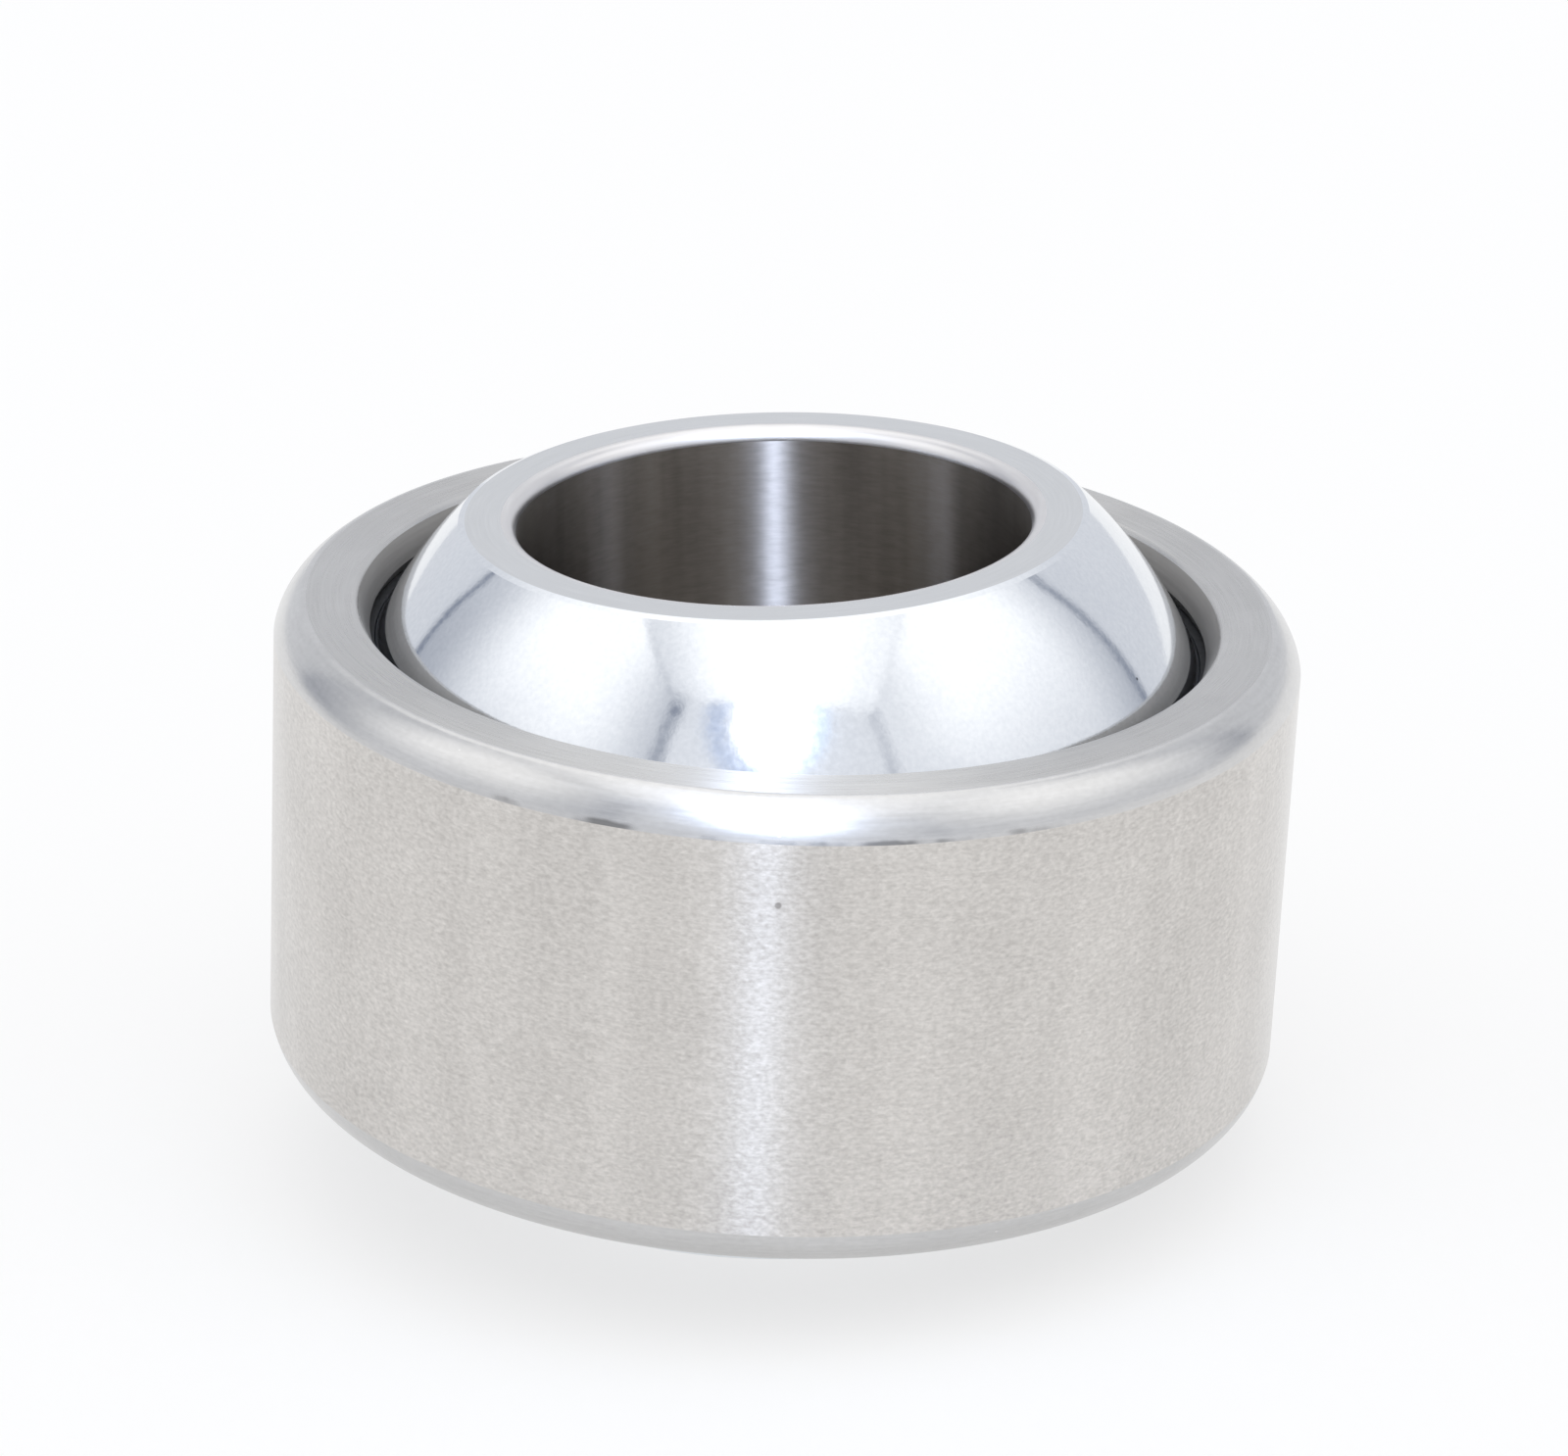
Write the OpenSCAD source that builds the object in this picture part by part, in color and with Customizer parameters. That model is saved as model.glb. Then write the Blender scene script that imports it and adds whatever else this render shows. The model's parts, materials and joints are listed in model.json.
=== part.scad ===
// Spherical plain bearing: a ball-shaped inner ring with a shaft bore tilts inside a one-piece outer ring,
// on a thin dry liner. Millimetres. The origin is the centre of the ball, +Z runs along the shaft bore,
// and the outer ring leans towards +X.

/* [Outer ring] */
// Diameter of the outer ring
outer_d = 32; // [28:0.1:40]
// Width of the outer ring over its two faces
outer_w = 15; // [10:0.1:18]
// Thinnest wall of the outer ring, at the middle of its raceway
ring_wall = 1.3925; // [0.8:0.0025:2]
// Axial depth of the conical mouth at each face
mouth_depth = 0.9; // [0.2:0.05:1.5]
// Slope of the mouth's wall, in degrees from the ring's axis
mouth_slope = 26; // [5:1:40]
// Radial width that a rounded outside corner takes off the face
corner_w = 0.87; // [0.5:0.01:1]
// Axial height that it takes off the outside
corner_h = 1.19; // [1:0.01:1.6]
// Angle at which it meets the outside, which is ground after it, in degrees
corner_edge = 12; // [4:1:15]

/* [Liner] */
// Thickness of the liner
liner_t = 0.3; // [0.1:0.02:0.5]
// Running gap between the liner and the ball
running_gap = 0.02; // [0.01:0.01:0.1]
// How far the liner's ends lie below the bottom of the mouth
liner_setback = 0.36; // [0:0.02:0.6]

/* [Inner ring] */
// Diameter of the shaft bore
bore_d = 16; // [8:0.1:18]
// Radius of the rounded mouth at each end of the bore
bore_mouth_r = 0.45; // [0.1:0.05:1]
// Width of an end face from the bore's mouth to the ball, before its edge is broken
end_face_w = 1.2393; // [0.6:0.0001:2]
// Width that the broken edge towards the ball takes off an end face
edge_break = 0.12; // [0.02:0.02:0.4]

/* [Pose] */
// Lean of the outer ring from the bore's axis, in degrees towards +X
ring_lean = 3.5; // [-15:0.1:15]

/* [Hidden] */

// Segments of a full turn
$fn = 180;
// Extra reach of a cut past the face that it opens
cut_over = 1;

outer_r = outer_d / 2;
outer_half = outer_w / 2;

// Spheres about one centre: the raceway inside the ring's wall, the liner's running face and the ball
race_r = outer_r - ring_wall;
slide_r = race_r - liner_t;
ball_r = slide_r - running_gap;

// The end faces cut the ball where it is just wide enough for the bore, its mouth and their own width
bore_r = bore_d / 2;
end_face_r = bore_r + bore_mouth_r + end_face_w;
inner_half = sqrt(pow(ball_r, 2) - pow(end_face_r, 2));
inner_w = 2 * inner_half;
// A broken edge slopes halfway between the end face and the ball
edge_slope = tan(asin(end_face_r / ball_r) / 2);

// The mouth runs from the raceway up to the face
mouth_z = outer_half - mouth_depth;
mouth_low_r = sqrt(pow(race_r, 2) - pow(mouth_z, 2));
mouth_spread = tan(mouth_slope);
liner_half = mouth_z - liner_setback;

// An outside corner is an arc between its two ends, and its chord turns half of what the arc does
corner_half_turn = atan(corner_w / corner_h) - corner_edge;
corner_r = sqrt(pow(corner_w, 2) + pow(corner_h, 2)) / (2 * sin(corner_half_turn));
corner_mid_r = outer_r - corner_r * cos(corner_edge);
corner_mid_z = outer_half - corner_h - corner_r * sin(corner_edge);

// Repeats a profile at the other end of the axis
module both_ends() {
    children();
    mirror([0, 1])
        children();
}

// Half section of the ball: a sphere cut off at two end faces, with broken edges
module ball_profile() {
    difference() {
        intersection() {
            circle(r = ball_r);
            translate([0, -inner_half])
                square([ball_r + cut_over, inner_w]);
        }
        both_ends()
            translate([end_face_r - edge_break, inner_half])
                polygon([
                    [-cut_over, cut_over * edge_slope],
                    [cut_over, -cut_over * edge_slope],
                    [cut_over, cut_over * edge_slope]
                ]);
    }
}

// Half section of the bore, which opens into a rounded mouth at each end
module bore_profile() {
    translate([0, -inner_half - cut_over])
        square([bore_r, inner_w + 2 * cut_over]);
    both_ends()
        difference() {
            translate([0, inner_half - bore_mouth_r])
                square([bore_r + bore_mouth_r, bore_mouth_r + cut_over]);
            translate([bore_r + bore_mouth_r, inner_half - bore_mouth_r])
                circle(r = bore_mouth_r);
        }
}

// Half section of the outer ring before it is bored: a plain block with rounded outside corners
module blank_profile() {
    difference() {
        translate([0, -outer_half])
            square([outer_r, outer_w]);
        both_ends()
            difference() {
                translate([corner_mid_r, corner_mid_z])
                    square([corner_r + cut_over, corner_r + cut_over]);
                translate([corner_mid_r, corner_mid_z])
                    circle(r = corner_r);
            }
    }
}

// Half section of the conical mouth, from inside the raceway to past the face
module mouth_profile() {
    mouth_reach = mouth_depth + cut_over;
    translate([0, mouth_z])
        polygon([
            [0, -cut_over],
            [mouth_low_r - cut_over * mouth_spread, -cut_over],
            [mouth_low_r + mouth_reach * mouth_spread, mouth_reach],
            [0, mouth_reach]
        ]);
}

// Leans a piece of the outer ring's side about the centre of the ball
module leaned() {
    rotate([0, ring_lean, 0])
        children();
}

module outer_ring() {
    color([0.76, 0.75, 0.73])
        leaned()
            rotate_extrude()
                difference() {
                    blank_profile();
                    circle(r = race_r);
                    both_ends()
                        mouth_profile();
                }
}

module sliding_liner() {
    color([0.09, 0.09, 0.09])
        leaned()
            rotate_extrude()
                intersection() {
                    difference() {
                        circle(r = race_r);
                        circle(r = slide_r);
                    }
                    translate([0, -liner_half])
                        square([race_r + cut_over, 2 * liner_half]);
                }
}

module inner_ring() {
    color([0.85, 0.87, 0.9])
        rotate_extrude()
            difference() {
                ball_profile();
                bore_profile();
            }
}

outer_ring();
sliding_liner();
inner_ring();
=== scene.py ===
import json
import math

import bmesh
import bpy
from mathutils import Matrix, Vector


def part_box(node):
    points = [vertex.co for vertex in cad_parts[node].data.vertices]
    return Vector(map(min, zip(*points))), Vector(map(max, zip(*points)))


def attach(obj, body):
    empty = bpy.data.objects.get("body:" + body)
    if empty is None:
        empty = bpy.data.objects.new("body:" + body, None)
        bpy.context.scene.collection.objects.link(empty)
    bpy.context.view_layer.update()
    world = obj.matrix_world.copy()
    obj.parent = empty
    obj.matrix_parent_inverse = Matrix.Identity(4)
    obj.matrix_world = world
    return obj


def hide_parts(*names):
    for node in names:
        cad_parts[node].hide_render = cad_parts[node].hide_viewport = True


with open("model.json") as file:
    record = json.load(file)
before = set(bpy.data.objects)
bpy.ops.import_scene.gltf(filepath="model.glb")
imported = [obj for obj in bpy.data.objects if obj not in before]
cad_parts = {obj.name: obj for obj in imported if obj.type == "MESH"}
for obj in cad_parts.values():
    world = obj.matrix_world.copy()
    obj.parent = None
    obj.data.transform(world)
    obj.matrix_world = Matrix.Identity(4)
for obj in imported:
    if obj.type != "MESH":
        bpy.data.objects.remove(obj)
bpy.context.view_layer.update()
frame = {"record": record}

mm = 0.001  # pieces are drawn in millimetres and scaled to metres once

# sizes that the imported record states
mounts = {mount["name"]: mount for mount in frame["record"]["mounts"]}
boreRadius = mounts["shaft_bore"]["dims"]["r_mm"]
boreHalf = mounts["shaft_bore"]["dims"]["length_mm"] / 2
ballHalf = mounts["upper_end_face"]["pos_m"][2] / mm
ringRadius = mounts["housing_diameter"]["dims"]["r_mm"]
landHalf = mounts["housing_diameter"]["dims"]["length_mm"] / 2
ringAxis = Vector(mounts["housing_diameter"]["axis"])
ringHalf = Vector(mounts["upper_ring_face"]["pos_m"]).dot(ringAxis) / mm
ringLean = math.atan2(ringAxis.x, ringAxis.z)
print("frame: bore", boreRadius, "ring", ringRadius, "lean", round(math.degrees(ringLean), 2))


# Drawing: a half section is grown from one vertex, then turned round the axis

breakFrom = math.radians(20)  # an edge that folds more than this may be broken
sharpFrom = math.radians(11.5)  # and one past this stays sharp in the shading


def drawLine(bm, tip, radius, height):
    end = bmesh.ops.extrude_vert_indiv(bm, verts=[tip])["verts"][0]
    bmesh.ops.translate(bm, verts=[end], vec=Vector((radius, 0, height)) - tip.co)
    return end


def drawArc(bm, tip, centreRadius, centreHeight, degrees, steps):
    # positive degrees turn from outwards to upwards
    made = bmesh.ops.spin(bm, geom=[tip], cent=(centreRadius, 0, centreHeight), axis=(0, -1, 0),
                          angle=math.radians(degrees), steps=steps, use_duplicate=False)
    return [item for item in made["geom_last"] if isinstance(item, bmesh.types.BMVert)][0]


def turnSection(bm, steps, weld=1e-4):
    bmesh.ops.remove_doubles(bm, verts=bm.verts[:], dist=weld)
    bmesh.ops.spin(bm, geom=bm.verts[:] + bm.edges[:], cent=(0, 0, 0), axis=(0, 0, 1),
                   angle=math.tau, steps=steps, use_merge=True, use_duplicate=False)
    bmesh.ops.remove_doubles(bm, verts=bm.verts[:], dist=weld)
    bmesh.ops.recalc_face_normals(bm, faces=bm.faces[:])


def breakEdges(bm, width, segments, here):
    # rounds the edges whose middle lies where here says, given its radius and height
    chosen = []
    for edge in bm.edges:
        middle = (edge.verts[0].co + edge.verts[1].co) / 2
        if edge.calc_face_angle(0) > breakFrom and here(middle.xy.length, abs(middle.z)):
            chosen.append(edge)
    bmesh.ops.bevel(bm, geom=chosen, offset=width, offset_type="OFFSET", segments=segments,
                    profile=0.5, affect="EDGES", clamp_overlap=True, material=-1)
    bmesh.ops.recalc_face_normals(bm, faces=bm.faces[:])


def finishPiece(bm, name, lean, zoneOf, finishes):
    # zoneOf gives the finish of a face from its radius and height, before the piece is leaned
    for face in bm.faces:
        centre = face.calc_center_median()
        face.material_index = zoneOf(math.hypot(centre.x, centre.y), abs(centre.z))
        face.smooth = True
    bmesh.ops.rotate(bm, verts=bm.verts[:], cent=(0, 0, 0), matrix=Matrix.Rotation(lean, 3, "Y"))
    bmesh.ops.scale(bm, verts=bm.verts[:], vec=(mm, mm, mm))
    mesh = bpy.data.meshes.new(name)
    bm.to_mesh(mesh)
    bm.free()
    mesh.set_sharp_from_angle(angle=sharpFrom)
    for finish in finishes:
        mesh.materials.append(finish)
    piece = bpy.data.objects.new(name, mesh)
    bpy.context.scene.collection.objects.link(piece)
    print("piece:", name, len(mesh.polygons), "faces")
    return piece


# Shader maths: a socket that takes Python's operators

def openSocket(sockets, key):
    if isinstance(key, int):
        return sockets[key]
    return next(socket for socket in sockets if socket.enabled and key in (None, socket.name))


class Wire:
    def __init__(self, socket):
        self.socket = socket

    def add(self, kind, settings=None, sockets=None, out=None):
        tree = self.socket.id_data
        made = tree.nodes.new(kind)
        for key, value in (settings or {}).items():
            setattr(made, key, value)
        for key, value in (sockets or {}).items():
            target = openSocket(made.inputs, key)
            if isinstance(value, Wire):
                tree.links.new(value.socket, target)
            else:
                target.default_value = value
        return Wire(openSocket(made.outputs, out))

    def other(self, out):
        return Wire(openSocket(self.socket.node.outputs, out))

    def maths(self, operation, first, second=0.0):
        return self.add("ShaderNodeMath", {"operation": operation}, {0: first, 1: second})

    def __add__(self, value):
        return self.maths("ADD", self, value)

    def __radd__(self, value):
        return self.maths("ADD", value, self)

    def __sub__(self, value):
        return self.maths("SUBTRACT", self, value)

    def __rsub__(self, value):
        return self.maths("SUBTRACT", value, self)

    def __mul__(self, value):
        return self.maths("MULTIPLY", self, value)

    def __rmul__(self, value):
        return self.maths("MULTIPLY", value, self)

    def __truediv__(self, value):
        return self.maths("DIVIDE", self, value)

    def __rtruediv__(self, value):
        return self.maths("DIVIDE", value, self)

    def __pow__(self, value):
        return self.maths("POWER", self, value)

    def __abs__(self):
        return self.maths("ABSOLUTE", self)

    def above(self, value):
        return self.maths("MAXIMUM", self, value)

    def below(self, value):
        return self.maths("MINIMUM", self, value)

    def rise(self, low, high):
        # 0 below low, 1 above high, smooth between
        return self.add("ShaderNodeMapRange", {"interpolation_type": "SMOOTHSTEP"},
                        {"Value": self, "From Min": low, "From Max": high})

    def tint(self, first, second):
        # from the first colour at 0 to the second at 1
        return self.add("ShaderNodeMix", {"data_type": "RGBA"}, {"Factor": self, "A": first, "B": second})

    def stretch(self, scale):
        return self.add("ShaderNodeVectorMath", {"operation": "MULTIPLY"}, {0: self, 1: scale})

    def noise(self, detail=2.0, roughness=0.5):
        return self.add("ShaderNodeTexNoise", {}, {"Vector": self, "Scale": 1.0, "Detail": detail,
                                                  "Roughness": roughness})

    def specks(self, size, share):
        # 1 inside a small mark, which the given share of the cells hold
        mark = self.add("ShaderNodeTexVoronoi", {}, {"Vector": self, "Scale": 1.0}, "Distance")
        pick = mark.add("ShaderNodeSeparateColor", {}, {"Color": mark.other("Color")}, "Red")
        return mark.rise(size, size * 0.5) * mark.maths("LESS_THAN", pick, share)


def colour(red, green, blue):
    return (red, green, blue, 1.0)


def newFinish(name, look, lean=0.0):
    # a material whose pattern is read in millimetres about the piece's own axis
    finish = bpy.data.materials.new(name)
    finish.use_nodes = True
    nodes = finish.node_tree.nodes
    shader = nodes["Principled BSDF"]
    for key, value in look.items():
        shader.inputs[key].default_value = value
    start = Wire(nodes.new("ShaderNodeTexCoord").outputs["Object"])
    point = start.add("ShaderNodeMapping", {}, {"Vector": start, "Rotation": (0, -lean, 0),
                                                "Scale": (1 / mm, 1 / mm, 1 / mm)})
    print("finish:", name)
    return finish, shader, point


def feed(shader, wires):
    for key, wire in wires.items():
        shader.id_data.links.new(wire.socket, shader.inputs[key])


def bump(height, depth, strength=1.0):
    # depth in millimetres
    return height.add("ShaderNodeBump", {}, {"Strength": strength, "Distance": depth * mm, "Height": height})


def roundParts(point):
    split = point.add("ShaderNodeSeparateXYZ", {}, {"Vector": point}, "X")
    x, y, z = split, split.other("Y"), split.other("Z")
    radius = (x * x + y * y) ** 0.5
    return x, y, z, radius


def turningMarks(x, y, radius, across, breaks):
    # lines round the axis: across grows by about one from line to line, and breaks cuts them up
    around = across.add("ShaderNodeCombineXYZ", {}, {"X": across, "Y": x / radius * breaks,
                                                     "Z": y / radius * breaks})
    return around.noise(3.0)


acrossTurning = 0.25  # anisotropic rotation that spreads a glint across the lines of turning


# Outer ring: ground outside, polished corners, turned faces and mouths

ring = {
    "wall": 1.3925,  # at the middle of the raceway
    "raceSteps": 40,
    "mouthDepth": 0.9,
    "mouthSlope": 26,
    "mouthBreak": 0.16,
    "mouthBreakSteps": 6,
    "cornerWidth": 0.87,
    "cornerMeet": 12,  # degrees at which a corner meets the ground outside
    "cornerSteps": 14,
    "faceBreak": 0.14,
    "faceBreakSteps": 4,
    "turns": 360,
    # dark and light steel of each finish, and its least roughness
    "groundTones": (colour(0.44, 0.42, 0.40), colour(0.80, 0.775, 0.745)),
    "groundRough": 0.16,
    "cornerTones": (colour(0.52, 0.515, 0.51), colour(0.78, 0.775, 0.77)),
    "cornerRough": 0.20,
    "faceTones": (colour(0.53, 0.525, 0.517), colour(0.72, 0.713, 0.703)),
    "faceRough": 0.24,
    # the mouth's tones are painted darker than its turned steel, as painted shade in the mouth
    "mouthTones": (colour(0.14, 0.132, 0.122), colour(0.43, 0.41, 0.382)),
    "mouthRough": 0.38,
    "brightMark": colour(0.95, 0.95, 0.95),  # scratches and nicks
    "burrTurn": 11,  # degrees from -Y to the middle of the painted dark line
    # colour of the painted shadow and reflection along the upper corner
    "burrColour": colour(0.08, 0.075, 0.07),
    "fleckTurn": 13.2,  # and to one dark fleck in the ground outside
    "fleckHeight": 4.4,
    "fleckSize": 0.13,
    "fleckColour": colour(0.12, 0.11, 0.10),
}
raceRadius = ringRadius - ring["wall"]
mouthHeight = ringHalf - ring["mouthDepth"]
mouthFoot = math.sqrt(raceRadius ** 2 - mouthHeight ** 2)
mouthTop = mouthFoot + ring["mouthDepth"] * math.tan(math.radians(ring["mouthSlope"]))
cornerEdge = ringRadius - ring["cornerWidth"]
cornerMeet = math.radians(ring["cornerMeet"])
cornerTurn = 2 * (math.atan2(ring["cornerWidth"], ringHalf - landHalf) - cornerMeet)
cornerRadius = math.hypot(ring["cornerWidth"], ringHalf - landHalf) / (2 * math.sin(cornerTurn / 2))
cornerCentre = ringRadius - cornerRadius * math.cos(cornerMeet)
cornerHeight = landHalf - cornerRadius * math.sin(cornerMeet)


def groundSteel():
    # the spread follows the leaning axis at the front
    finish, shader, point = newFinish("groundSteel", {
        "Metallic": 1.0, "Anisotropic": 1.0,
        "Anisotropic Rotation": acrossTurning - ringLean / math.tau}, ringLean)
    grain = point.stretch((5.0, 5.0, 8.5)).noise(3.0, 0.6)
    dash = point.stretch((1.1, 1.1, 14.0)).noise(1.0)
    upright = point.stretch((0.45, 0.45, 0.03)).noise(2.0)
    cloud = point.stretch((0.3, 0.3, 0.25)).noise(2.0)
    scratch = point.stretch((0.5, 0.5, 5.0)).specks(0.05, 0.12)
    turn = math.radians(ring["fleckTurn"])
    fleckPlace = (ringRadius * math.sin(turn), -ringRadius * math.cos(turn), ring["fleckHeight"])
    away = point.add("ShaderNodeVectorMath", {"operation": "DISTANCE"}, {0: point, 1: fleckPlace}, "Value")
    fleck = away.rise(ring["fleckSize"], ring["fleckSize"] * 0.5)
    fleck = fleck.above(point.stretch((0.3, 0.3, 0.3)).specks(0.03, 0.08))
    streak = grain * 0.85 + dash * 0.15
    tone = 0.5 + (streak - 0.5) * 1.35 + (upright - 0.5) * 0.35 + (cloud - 0.5) * 0.3
    worn = (fleck * 0.6).tint(tone.tint(*ring["groundTones"]), ring["fleckColour"])
    feed(shader, {
        "Base Color": (scratch * 0.6).tint(worn, ring["brightMark"]),
        "Roughness": ring["groundRough"] + streak * 0.06,
        "Normal": bump(streak, 0.003, 0.4),
    })
    return finish


def polishedCorner():
    finish, shader, point = newFinish("polishedCorner", {
        "Metallic": 1.0, "Anisotropic": 0.6, "Anisotropic Rotation": acrossTurning}, ringLean)
    x, y, z, radius = roundParts(point)
    line = point.stretch((0.5, 0.5, 12.0)).noise(3.0)
    grain = point.stretch((4.0, 4.0, 9.0)).noise(2.0)
    smear = point.stretch((0.35, 0.35, 0.6)).noise(2.0)
    nick = point.stretch((1.4, 1.4, 3.0)).specks(0.09, 0.1)
    # a dark broken line is painted along the front part of the upper corner: the painted shadow of the
    # grinding burr and a painted reflection of the dark front of the studio
    across = math.radians(ring["burrTurn"])
    nearPaintedLine = ((x * math.sin(across) - y * math.cos(across)) / radius).rise(0.80, 0.93)
    broken = point.stretch((0.45, 0.45, 0.45)).noise(3.0).rise(0.46, 0.60)
    paintedLine = (z - point.stretch((0.9, 0.9, 0.9)).noise(2.0) * 0.3).rise(landHalf + 0.02, landHalf - 0.1)
    paintedLine = paintedLine * nearPaintedLine * broken * z.rise(0.0, 1.0)
    tone = 0.5 + (line - 0.5) * 0.4 + (grain - 0.5) * 0.35 + (smear - 0.5) * 0.3
    tone = tone - z.rise(0.0, -1.0) * 0.3  # painted shade: the lower corner is darker, as if it reflected the shadowed floor
    nicked = (nick * 0.5).tint(tone.tint(*ring["cornerTones"]), ring["brightMark"])
    feed(shader, {
        # the painted dark line goes into the base colour
        "Base Color": (paintedLine * 0.7).tint(nicked, ring["burrColour"]),
        "Roughness": ring["cornerRough"] + line * 0.08 + paintedLine * 0.1,
        "Normal": bump(line + nick * 0.5, 0.004, 0.4),
    })
    return finish


def turnedFace():
    finish, shader, point = newFinish("turnedFace", {
        "Metallic": 1.0, "Anisotropic": 1.0, "Anisotropic Rotation": acrossTurning}, ringLean)
    x, y, _, radius = roundParts(point)
    mark = turningMarks(x, y, radius, radius * 14.0, 6.0)
    cloud = point.stretch((0.5, 0.5, 0.5)).noise(2.0)
    tone = 0.5 + (mark - 0.5) * 0.9 + (cloud - 0.5) * 0.5
    feed(shader, {
        "Base Color": tone.tint(*ring["faceTones"]),
        "Roughness": ring["faceRough"] + mark * 0.08,
        "Normal": bump(mark, 0.004, 0.5),
    })
    return finish


def turnedMouth():
    finish, shader, point = newFinish("turnedMouth", {
        "Metallic": 1.0, "Anisotropic": 0.5, "Anisotropic Rotation": acrossTurning}, ringLean)
    x, y, z, radius = roundParts(point)
    mark = turningMarks(x, y, radius, z * 9.0, 5.0)
    paintedMouthLight = abs(z).rise(mouthHeight, ringHalf)  # painted shade: darker towards its foot, deep in the mouth
    feed(shader, {
        "Base Color": (paintedMouthLight * 0.6 + mark * 0.4).tint(*ring["mouthTones"]),
        "Roughness": ring["mouthRough"] + mark * 0.14,
        "Normal": bump(mark, 0.008, 0.6),
    })
    return finish


def makeRing():
    bm = bmesh.new()
    turn = math.degrees(cornerTurn)
    raceTurn = 2 * math.degrees(math.asin(mouthHeight / raceRadius))
    start = bm.verts.new((ringRadius, 0, -landHalf))
    tip = drawLine(bm, start, ringRadius, 0)
    tip = drawLine(bm, tip, ringRadius, landHalf)
    tip = drawArc(bm, tip, cornerCentre, cornerHeight, turn, ring["cornerSteps"])
    tip = drawLine(bm, tip, mouthTop, ringHalf)
    tip = drawLine(bm, tip, mouthFoot, mouthHeight)
    tip = drawArc(bm, tip, 0, 0, -raceTurn, ring["raceSteps"])
    tip = drawLine(bm, tip, mouthTop, -ringHalf)
    tip = drawLine(bm, tip, cornerEdge, -ringHalf)
    drawArc(bm, tip, cornerCentre, -cornerHeight, turn, ring["cornerSteps"])
    turnSection(bm, ring["turns"])
    midFace = (mouthTop + cornerEdge) / 2
    midMouth = (mouthHeight + ringHalf) / 2
    breakEdges(bm, ring["faceBreak"], ring["faceBreakSteps"], lambda radius, height: radius > midFace)
    breakEdges(bm, ring["mouthBreak"], ring["mouthBreakSteps"],
               lambda radius, height: radius < midFace and height > midMouth)
    ground, corner, face, mouth = range(4)

    def zoneOf(radius, height):
        if height < landHalf and radius > raceRadius:
            return ground
        if radius > cornerEdge - ring["faceBreak"]:
            return corner
        if radius > mouthTop - ring["mouthBreak"] and height > ringHalf - ring["mouthBreak"]:
            return face
        return mouth

    piece = finishPiece(bm, "outer_ring_turned", ringLean, zoneOf,
                        [groundSteel(), polishedCorner(), turnedFace(), turnedMouth()])
    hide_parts("outer_ring")
    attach(piece, "ring")


# Liner: a thin dark sleeve between the raceway and the ball

liner = {
    "thickness": 0.3,
    "setback": 0.36,  # below the bottom of the mouth
    "arcSteps": 36,
    "edgeBreak": 0.03,
    "edgeBreakSteps": 2,
    "turns": 240,
    "tones": (colour(0.012, 0.012, 0.012), colour(0.04, 0.038, 0.036)),
    "rough": 0.7,
}
slideRadius = raceRadius - liner["thickness"]
linerHalf = mouthHeight - liner["setback"]


def linerFabric():
    finish, shader, point = newFinish("linerFabric", {"Metallic": 0.0, "Specular IOR Level": 0.15})
    weave = point.stretch((5.0, 5.0, 5.0)).noise(2.0)
    feed(shader, {
        "Base Color": weave.tint(*liner["tones"]),
        "Roughness": liner["rough"] + weave * 0.2,
        "Normal": bump(weave, 0.02, 0.6),
    })
    return finish


def makeLiner():
    bm = bmesh.new()
    outerEnd = math.sqrt(raceRadius ** 2 - linerHalf ** 2)
    innerEnd = math.sqrt(slideRadius ** 2 - linerHalf ** 2)
    outerTurn = 2 * math.degrees(math.asin(linerHalf / raceRadius))
    innerTurn = 2 * math.degrees(math.asin(linerHalf / slideRadius))
    start = bm.verts.new((outerEnd, 0, -linerHalf))
    tip = drawArc(bm, start, 0, 0, outerTurn, liner["arcSteps"])
    tip = drawLine(bm, tip, innerEnd, linerHalf)
    tip = drawArc(bm, tip, 0, 0, -innerTurn, liner["arcSteps"])
    drawLine(bm, tip, outerEnd, -linerHalf)
    turnSection(bm, liner["turns"])
    breakEdges(bm, liner["edgeBreak"], liner["edgeBreakSteps"], lambda radius, height: True)
    piece = finishPiece(bm, "sliding_liner_sleeve", ringLean, lambda radius, height: 0, [linerFabric()])
    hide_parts("sliding_liner")
    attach(piece, "ring")


# Inner ring: a hard chromed ball with flat ends, rounded bore mouths and a ground bore

ball = {
    "radius": 14.2875,
    "ballSteps": 64,
    "lipSteps": 12,
    "endBreak": 0.12,  # width that the broken edge takes off an end face
    "flatSlack": 0.001,
    "turns": 400,
    # dark and light metal of each finish, and its least roughness
    "chromeTones": (colour(0.70, 0.73, 0.775), colour(0.89, 0.91, 0.935)),
    "chromeRough": 0.05,
    "pitColour": colour(0.07, 0.07, 0.08),
    "endTones": (colour(0.69, 0.698, 0.702), colour(0.80, 0.808, 0.812)),
    "endRough": 0.16,
    "lipTones": (colour(0.68, 0.665, 0.66), colour(0.80, 0.785, 0.78)),
    "lipRough": 0.28,
    # the bore's tones are painted darker than its ground steel, as painted shade inside the bore
    "boreTones": (colour(0.14, 0.125, 0.11), colour(0.38, 0.35, 0.32)),
    "boreRough": 0.31,
}
mouthRound = ballHalf - boreHalf
lipRadius = boreRadius + mouthRound
ballEdge = math.sqrt(ball["radius"] ** 2 - ballHalf ** 2)
breakSlope = math.tan(math.asin(ballEdge / ball["radius"]) / 2)


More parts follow.
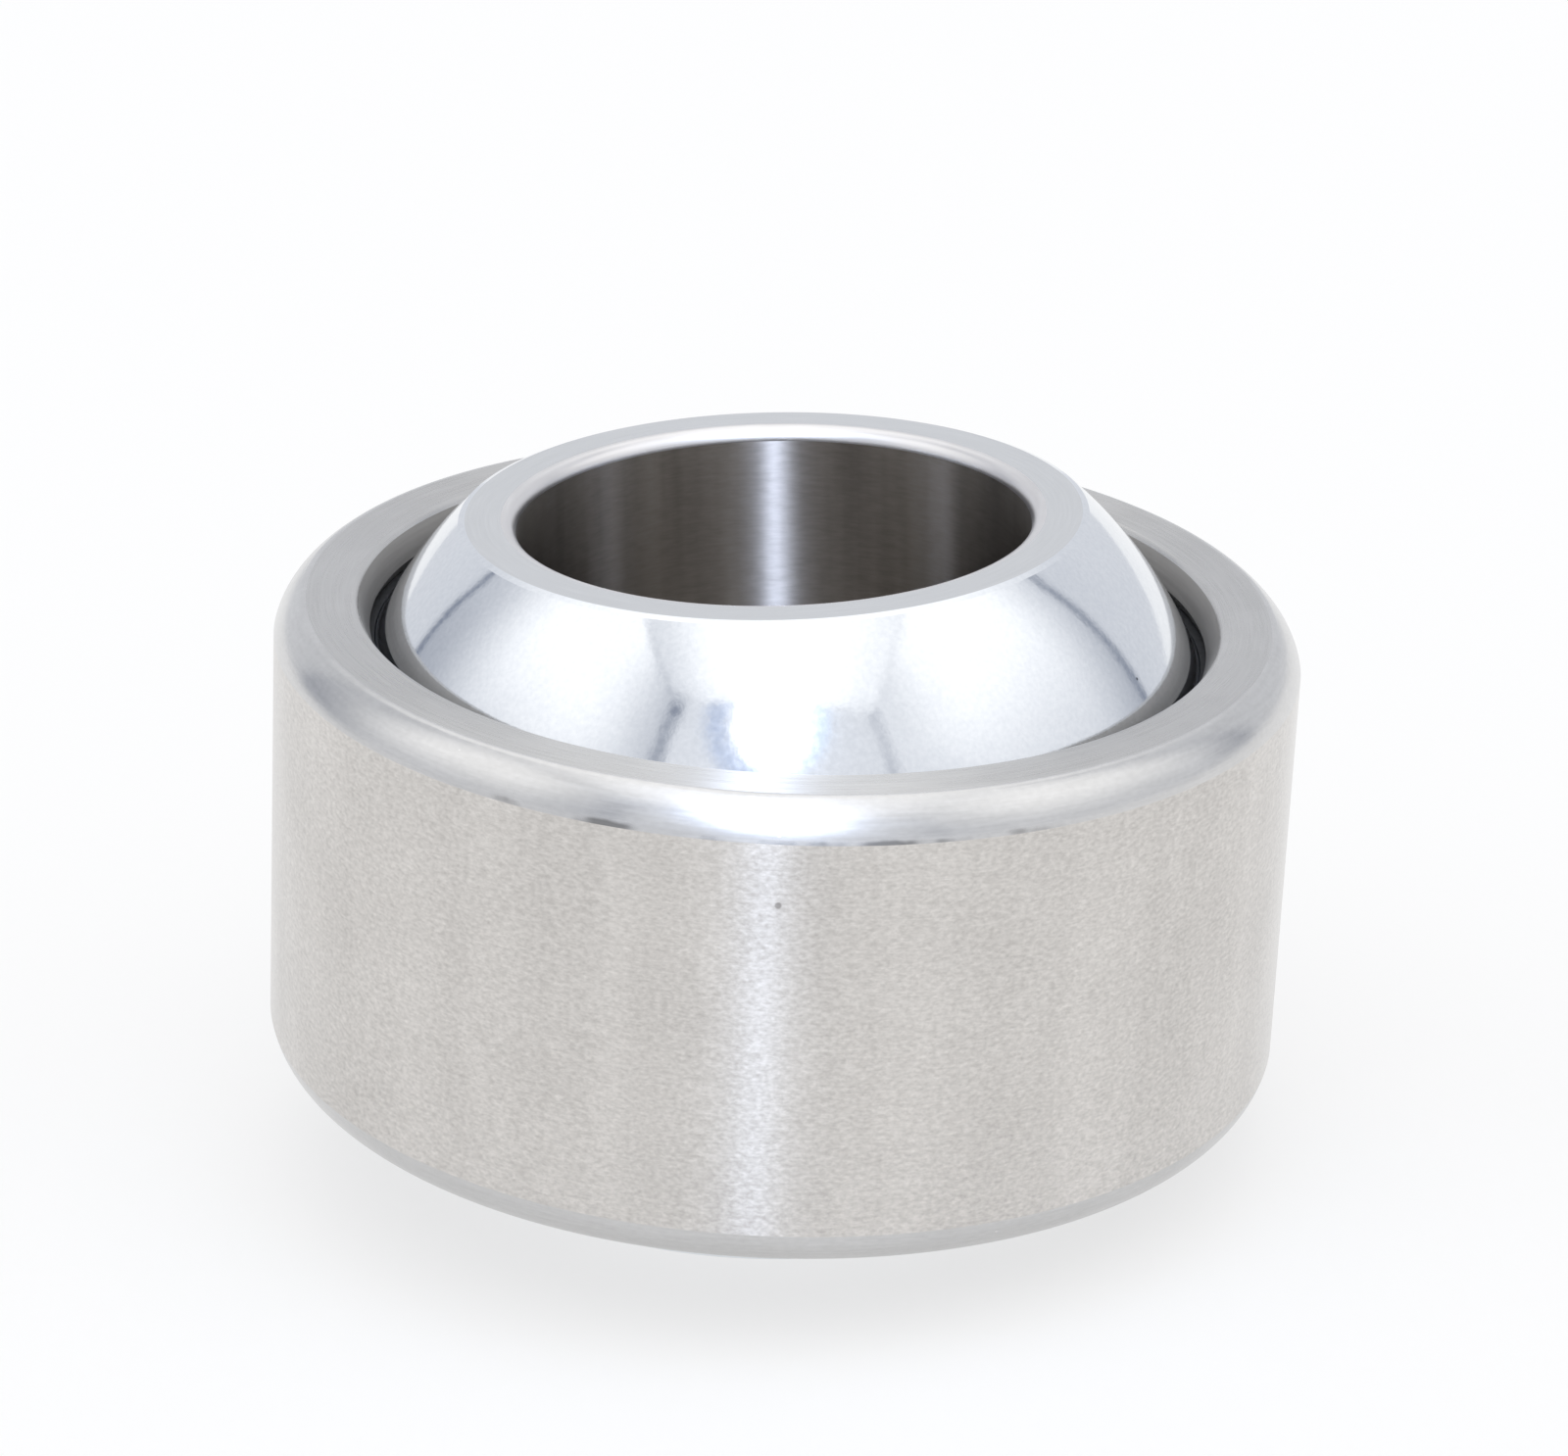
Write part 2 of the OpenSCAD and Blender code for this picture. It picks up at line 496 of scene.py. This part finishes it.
def hardChrome():
    finish, shader, point = newFinish("hardChrome", {"Metallic": 1.0})
    peel = point.stretch((1.3, 1.3, 1.3)).noise(3.0)
    grain = point.stretch((6.0, 6.0, 6.0)).noise(3.0)
    cloud = point.stretch((0.25, 0.25, 0.25)).noise(2.0)
    pit = point.stretch((0.75, 0.75, 0.75)).specks(0.05, 0.08)
    tone = 0.5 + (cloud - 0.5) * 0.5 + (grain - 0.5) * 0.8
    feed(shader, {
        "Base Color": (pit * 0.85).tint(tone.tint(*ball["chromeTones"]), ball["pitColour"]),
        "Roughness": ball["chromeRough"] + grain * 0.05 + cloud * 0.03,
        "Normal": bump(peel * 0.7 + grain * 0.3, 0.007, 0.5),
    })
    return finish


def lappedEnd():
    finish, shader, point = newFinish("lappedEnd", {
        "Metallic": 1.0, "Anisotropic": 0.4, "Anisotropic Rotation": acrossTurning})
    x, y, _, radius = roundParts(point)
    mark = turningMarks(x, y, radius, radius * 14.0, 5.0)
    feed(shader, {
        "Base Color": mark.tint(*ball["endTones"]),
        "Roughness": ball["endRough"] + mark * 0.08,
        "Normal": bump(mark, 0.002, 0.4),
    })
    return finish


def polishedLip():
    finish, shader, point = newFinish("polishedLip", {"Metallic": 1.0})
    line = point.stretch((0.6, 0.6, 16.0)).noise(2.0)
    feed(shader, {
        "Base Color": line.tint(*ball["lipTones"]),
        "Roughness": ball["lipRough"] + line * 0.1,
        "Normal": bump(line, 0.002, 0.4),
    })
    return finish


def groundBore():
    finish, shader, point = newFinish("groundBore", {
        "Metallic": 1.0, "Anisotropic": 1.0, "Anisotropic Rotation": acrossTurning})
    grain = point.stretch((1.6, 1.6, 9.0)).noise(3.0, 0.6)
    upright = point.stretch((0.5, 0.5, 0.04)).noise(3.0)
    tone = 0.5 + (grain - 0.5) * 0.4 + (upright - 0.5) * 1.4
    feed(shader, {
        # painted shade: the bore is coloured darker than its steel
        "Base Color": tone.tint(*ball["boreTones"]),
        "Roughness": ball["boreRough"] + grain * 0.04,
        "Normal": bump(grain, 0.002, 0.3),
    })
    return finish


def makeBall():
    bm = bmesh.new()
    # the broken edge runs at its slope from the end face until it meets the ball
    edgeRadius = ballEdge - ball["endBreak"]
    a = 1 + breakSlope ** 2
    b = edgeRadius - ballHalf * breakSlope
    c = edgeRadius ** 2 + ballHalf ** 2 - ball["radius"] ** 2
    reach = (-b + math.sqrt(b * b - a * c)) / a
    ballStartRadius = edgeRadius + reach
    ballStartHeight = ballHalf - reach * breakSlope
    ballTurn = 2 * math.degrees(math.atan2(ballStartHeight, ballStartRadius))
    start = bm.verts.new((boreRadius, 0, -boreHalf))
    tip = drawLine(bm, start, boreRadius, 0)
    tip = drawLine(bm, tip, boreRadius, boreHalf)
    tip = drawArc(bm, tip, lipRadius, boreHalf, -90, ball["lipSteps"])
    tip = drawLine(bm, tip, edgeRadius, ballHalf)
    tip = drawLine(bm, tip, ballStartRadius, ballStartHeight)
    tip = drawArc(bm, tip, 0, 0, -ballTurn, ball["ballSteps"])
    tip = drawLine(bm, tip, edgeRadius, -ballHalf)
    tip = drawLine(bm, tip, lipRadius, -ballHalf)
    drawArc(bm, tip, lipRadius, -boreHalf, -90, ball["lipSteps"])
    turnSection(bm, ball["turns"])
    chrome, end, lip, bore = range(4)

    def zoneOf(radius, height):
        if radius < lipRadius:
            return bore if height < boreHalf else lip
        if height > ballHalf - ball["flatSlack"]:
            return end
        return chrome

    piece = finishPiece(bm, "inner_ring_ball", 0.0, zoneOf,
                        [hardChrome(), lappedEnd(), polishedLip(), groundBore()])
    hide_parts("inner_ring")
    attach(piece, "ball")


makeRing()
makeLiner()
makeBall()


# Camera at the photograph's view

camera = {
    "azimuth": 14.33,
    "elevation": 21.763,
    "roll": -1.047,
    "distance": 181.19,  # millimetres from the aim point
    "aim": (-0.081, 1.125, 2.814),
    "lens": 131.43,
    "sensor": 36,
    "clip": (0.005, 20),
}


def makeCamera():
    data = bpy.data.cameras.new("photoCamera")
    data.sensor_width = camera["sensor"]
    data.lens = camera["lens"]
    data.clip_start, data.clip_end = camera["clip"]
    azimuth, elevation = math.radians(camera["azimuth"]), math.radians(camera["elevation"])
    back = Vector((math.sin(azimuth) * math.cos(elevation), -math.cos(azimuth) * math.cos(elevation),
                   math.sin(elevation)))
    roll = Matrix.Rotation(math.radians(camera["roll"]), 3, "Z")
    turn = (-back).to_track_quat("-Z", "Y").to_matrix() @ roll
    place = (Vector(camera["aim"]) + back * camera["distance"]) * mm
    eye = bpy.data.objects.new("photoCamera", data)
    eye.matrix_world = Matrix.Translation(place) @ turn.to_4x4()
    bpy.context.scene.collection.objects.link(eye)
    bpy.context.scene.camera = eye
    print("camera: lens", camera["lens"])


# Studio: a white tent of cloth walls that dim towards their seams, a pale floor and one lamp

studio = {
    "floorSize": 6.0,
    "floorTone": 0.93,
    "floorGlow": 0.65,  # share of the floor that is plain white where it is seen
    # the tent's walls in half widths from the part, and how far they slant across it
    "front": 1.404,
    "frontSlant": 0.077,
    "behind": 0.682,
    "behindSlant": 0.128,
    "roof": 1.84,
    # how bright each cloth is, and what the walls gain higher up
    "sideLevel": 0.7,
    "sideGain": 0.6,
    "behindLevel": 0.76,
    "behindGain": 0.55,
    "frontLevel": 0.74,
    "frontGain": 0.14,
    "roofLevel": 1.32,
    "brightest": 1.4,
    "darkCloth": colour(0.0, 0.035, 0.12),
    "join": 0.01,  # half the width over which one cloth gives way to the next
    # round the lamp
    "haloLevel": 0.7,
    "deepFringe": colour(0.36, 0.47, 0.72),
    "lightFringe": colour(0.78, 0.95, 1.2),
    "lampTurn": -0.5,  # degrees to the right of the camera
    "lampRise": 47.0,
    "lampDistance": 0.7,
    "lampSize": (0.016, 0.2),
    "lampPower": 8.2,
    "lampColour": (0.63, 0.75, 1.0),
}


def lampWay(turn):
    rise = math.radians(studio["lampRise"])
    turn = math.radians(turn + studio["lampTurn"])
    return Vector((math.sin(turn) * math.cos(rise), -math.cos(turn) * math.cos(rise), math.sin(rise)))


def makeFloor():
    bm = bmesh.new()
    bmesh.ops.create_grid(bm, x_segments=1, y_segments=1, size=studio["floorSize"] / 2)
    bmesh.ops.translate(bm, verts=bm.verts[:], vec=(0, 0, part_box("inner_ring")[0].z))
    mesh = bpy.data.meshes.new("floor")
    bm.to_mesh(mesh)
    bm.free()
    floor = bpy.data.objects.new("floor", mesh)
    bpy.context.scene.collection.objects.link(floor)
    paper, shader, point = newFinish("floorPaper", {"Roughness": 0.9, "Specular IOR Level": 0.0})
    tone = studio["floorTone"]
    shader.inputs["Base Color"].default_value = colour(tone, tone, tone)
    seen = point.add("ShaderNodeLightPath", {}, {}, "Is Camera Ray")
    seen = (seen + seen.other("Is Glossy Ray") + seen.other("Is Transmission Ray")).below(1.0)
    white = point.add("ShaderNodeEmission", {}, {"Color": colour(1, 1, 1), "Strength": 1.0})
    surface = point.add("ShaderNodeMixShader", {}, {
        0: seen * studio["floorGlow"], 1: Wire(shader.outputs["BSDF"]), 2: white})
    paper.node_tree.links.new(surface.socket, paper.node_tree.nodes["Material Output"].inputs["Surface"])
    mesh.materials.append(paper)
    print("stage: floor")


def makeTent():
    world = bpy.data.worlds.new("tent")
    bpy.context.scene.world = world
    world.use_nodes = True
    tree = world.node_tree
    background = tree.nodes["Background"]
    start = Wire(tree.nodes.new("ShaderNodeTexCoord").outputs["Generated"])
    way = start.add("ShaderNodeMapping", {}, {"Vector": start,
                                              "Rotation": (0, 0, -math.radians(camera["azimuth"]))})
    x = way.add("ShaderNodeSeparateXYZ", {}, {"Vector": way}, "X")
    y, z = x.other("Y"), x.other("Z")
    left = x.rise(0.25, -0.25)
    back = y.rise(-0.2, 0.2)
    side = abs(x)
    front = (y + x * studio["frontSlant"]) * (-1 / studio["front"])
    behind = (y + x * studio["behindSlant"]) * (1 / studio["behind"])
    ends = front.above(behind)
    wall = side.above(ends)
    roof = z * (1 / studio["roof"])
    join = studio["join"]

    # the side walls glow most beside the part, the back one most high up
    along = y / side
    high = (z / wall).rise(0.1, 0.55)  # folds and shade fade towards the floor
    sideLevel = studio["sideLevel"] + (z / side).rise(-0.1, 1.0) * studio["sideGain"]
    sideLevel = sideLevel * (1 - along.rise(-0.3, -1.2) * (0.28 + left * 0.17) * high)
    sideLevel = sideLevel * (1 - along.rise(0.1, 0.65) * 0.42)
    steep = z / abs(y)
    behindLevel = studio["behindLevel"] + steep.rise(0.5, 1.3) * side.rise(0.5, 0.2) * studio["behindGain"]
    frontLevel = studio["frontLevel"] + steep.rise(0.05, 0.6) * studio["frontGain"]
    endLevel = back * behindLevel + (1 - back) * frontLevel
    onSide = (side - ends).rise(-join, join)

    # the seams between the walls are dim
    upright = 1 - (abs(side - ends) / wall / (0.13 - back * 0.05)).rise(0.0, 1.0)
    low = steep.rise(0.85, 0.4)
    frontSeam = 0.3 + left * 0.25 + low * (1 - left) * 0.22
    seam = upright * (back * (0.6 + left * 0.12) + (1 - back) * frontSeam * high)
    wallLevel = (onSide * sideLevel + (1 - onSide) * endLevel) * (1 - seam)

    # the roof dims towards its sides and front, with a fold where it meets a side wall
    roofLevel = (studio["roofLevel"] - (side / roof).rise(0.45, 0.95) * (0.2 + left * 0.2)
                 - (front / roof).rise(0.8, 1.0) * 0.12)
    onRoof = (roof - wall).rise(-join, join)
    fold = (1 - (abs(roof - side) / wall).rise(0.0, 0.06)) * (side - ends).rise(-0.1, 0.0)
    level = (onRoof * roofLevel + (1 - onRoof) * wallLevel) * (1 - fold * (0.12 + left * 0.12))

    # two walls bunch where they meet the roof at the left of the front
    bunch = upright * left * (1 - back) * (1 - (abs(roof - wall) / wall).rise(0.0, 0.16))
    speckle = way.stretch((70.0, 70.0, 70.0)).noise(2.0)
    level = level * (1 - bunch * 0.45) + bunch * speckle.rise(0.58, 0.68) * 0.5

    # a white halo round the lamp and a blue fringe round that
    toLamp = lampWay(0.0)
    off = 1 - (x * toLamp.x + y * toLamp.y + z * toLamp.z)
    leftOf = (x - toLamp.x).rise(0.0, -0.1)
    level = level + off.rise(0.021, 0.010) * studio["haloLevel"]
    deep = off.rise(0.017, 0.026) * off.rise(0.055, 0.032) * leftOf * (0.4 + speckle.rise(0.42, 0.58) * 0.6)
    light = off.rise(0.006, 0.012) * off.rise(0.032, 0.015) * (1 - leftOf)
    brightest = studio["brightest"]
    cloth = (level / brightest).tint(studio["darkCloth"], colour(brightest, brightest, brightest))
    cloth = (deep * (1 - onRoof) * 0.75).tint(cloth, studio["deepFringe"])
    cloth = (light * (1 - onRoof) * 0.7).tint(cloth, studio["lightFringe"])
    tree.links.new(cloth.socket, background.inputs["Color"])
    background.inputs["Strength"].default_value = 1.0
    print("stage: tent")


def makeLamp():
    lamp = bpy.data.lights.new("frontLamp", "AREA")
    lamp.shape = "RECTANGLE"
    lamp.size, lamp.size_y = studio["lampSize"]
    lamp.energy = studio["lampPower"]
    lamp.color = studio["lampColour"]
    way = lampWay(camera["azimuth"])
    holder = bpy.data.objects.new("frontLamp", lamp)
    holder.matrix_world = (Matrix.Translation(way * studio["lampDistance"])
                           @ (-way).to_track_quat("-Z", "Y").to_matrix().to_4x4())
    holder.visible_diffuse = False  # it only glints on the metal
    bpy.context.scene.collection.objects.link(holder)
    print("stage: lamp")


makeCamera()
makeFloor()
makeTent()
makeLamp()
bpy.context.scene.view_settings.view_transform = "Standard"
